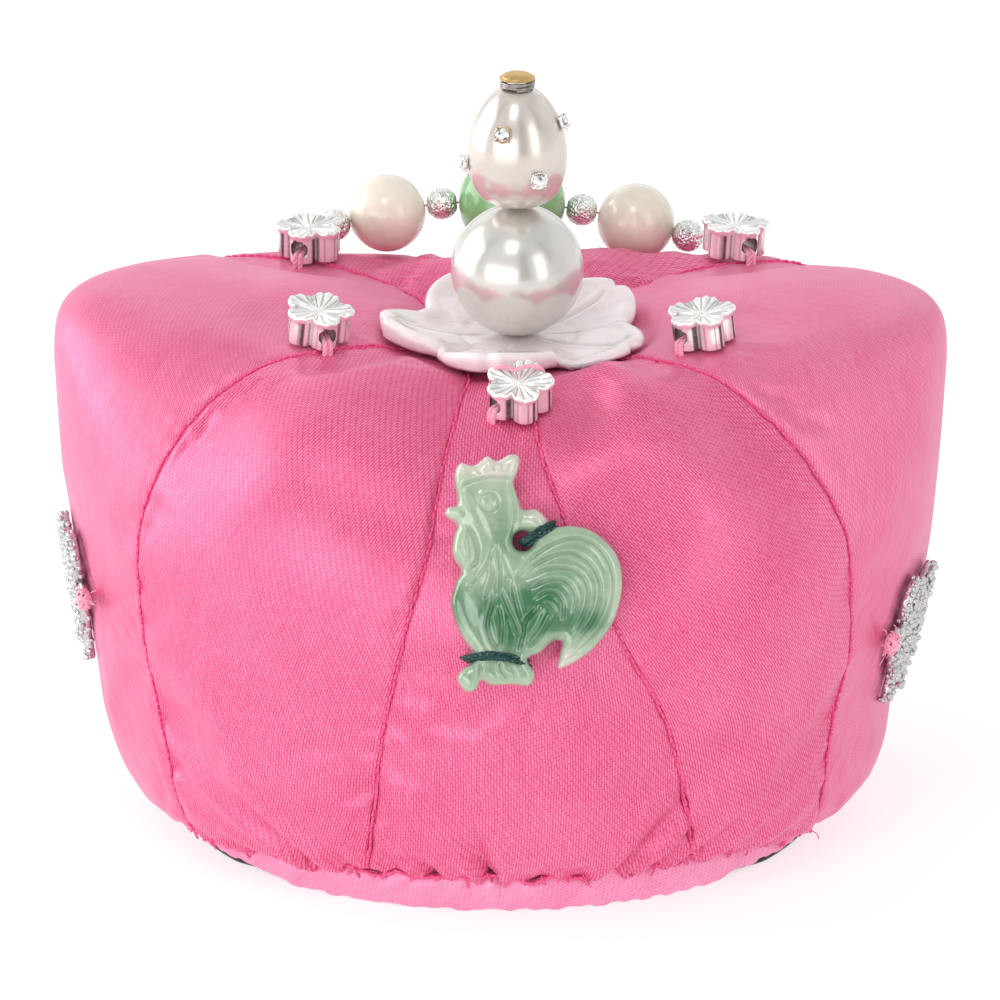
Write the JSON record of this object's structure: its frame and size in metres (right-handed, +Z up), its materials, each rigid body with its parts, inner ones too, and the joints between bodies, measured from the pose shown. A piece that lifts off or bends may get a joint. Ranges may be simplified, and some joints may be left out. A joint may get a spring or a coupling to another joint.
{
  "type": "bridal coronet",
  "caption": "Small padded satin bridal coronet, squarish on top and narrowing to a round rim, with a jade flower, pearls, beads and sewn-on charms.",
  "frame": {"origin": "middle of the part's box on the surface that the coronet's rim rests on", "axes": "+Z up, -Y the wearer's front with the rooster, +X to the viewer's right"},
  "size_m": [0.1342, 0.1196, 0.1174],
  "materials": {
    "satin": "hot pink satin",
    "satin_pale": "hot pink satin, its grain turned so that it looks paler",
    "lining": "black woven lining",
    "hem": "pale pink satin binding",
    "jade_pale": "polished grey-white jade",
    "pearl": "pearl lustre",
    "pearl_drop": "champagne pearl lustre",
    "wire": "bright wire",
    "gold": "gold-coloured metal",
    "crystal": "cut glass stone in a metal cup",
    "silver": "polished silver",
    "green_jade": "polished green jade",
    "silver_ball": "silver with a fine frosted texture",
    "white_jade": "polished cream jade",
    "thread": "pink sewing thread",
    "rooster_jade": "polished pale green jade",
    "tie": "dark teal thread",
    "silver_openwork": "granulated silver openwork"
  },
  "bodies": {
    "root": {"panel_front": "satin", "panel_front_right": "satin", "panel_back": "satin", "panel_front_left": "satin", "panel_right": "satin_pale", "panel_left": "satin_pale", "lining": "lining", "hem_band": "hem", "jade_flower": "jade_pale", "pearl_round": "pearl", "pearl_drop": "pearl_drop", "finial_wire": "wire", "finial_cap": "gold", "rhinestone_1": "crystal", "rhinestone_2": "crystal", "rhinestone_3": "crystal", "rhinestone_4": "crystal", "rhinestone_5": "crystal", "rhinestone_6": "crystal", "charm_front": "silver", "charm_front_left": "silver", "charm_front_right": "silver", "charm_back_left": "silver", "charm_back_right": "silver", "bead_middle": "green_jade", "silver_ball_left_inner": "silver_ball", "silver_ball_left_outer": "silver_ball", "silver_ball_right_inner": "silver_ball", "silver_ball_right_outer": "silver_ball", "bead_left": "white_jade", "bead_right": "white_jade", "bead_thread": "thread", "knot_left": "thread", "knot_right": "thread", "rooster": "rooster_jade", "tie_tail": "tie", "tie_feet": "tie", "side_charm_left": "silver_openwork", "side_charm_right": "silver_openwork"}
  },
  "joints": []
}
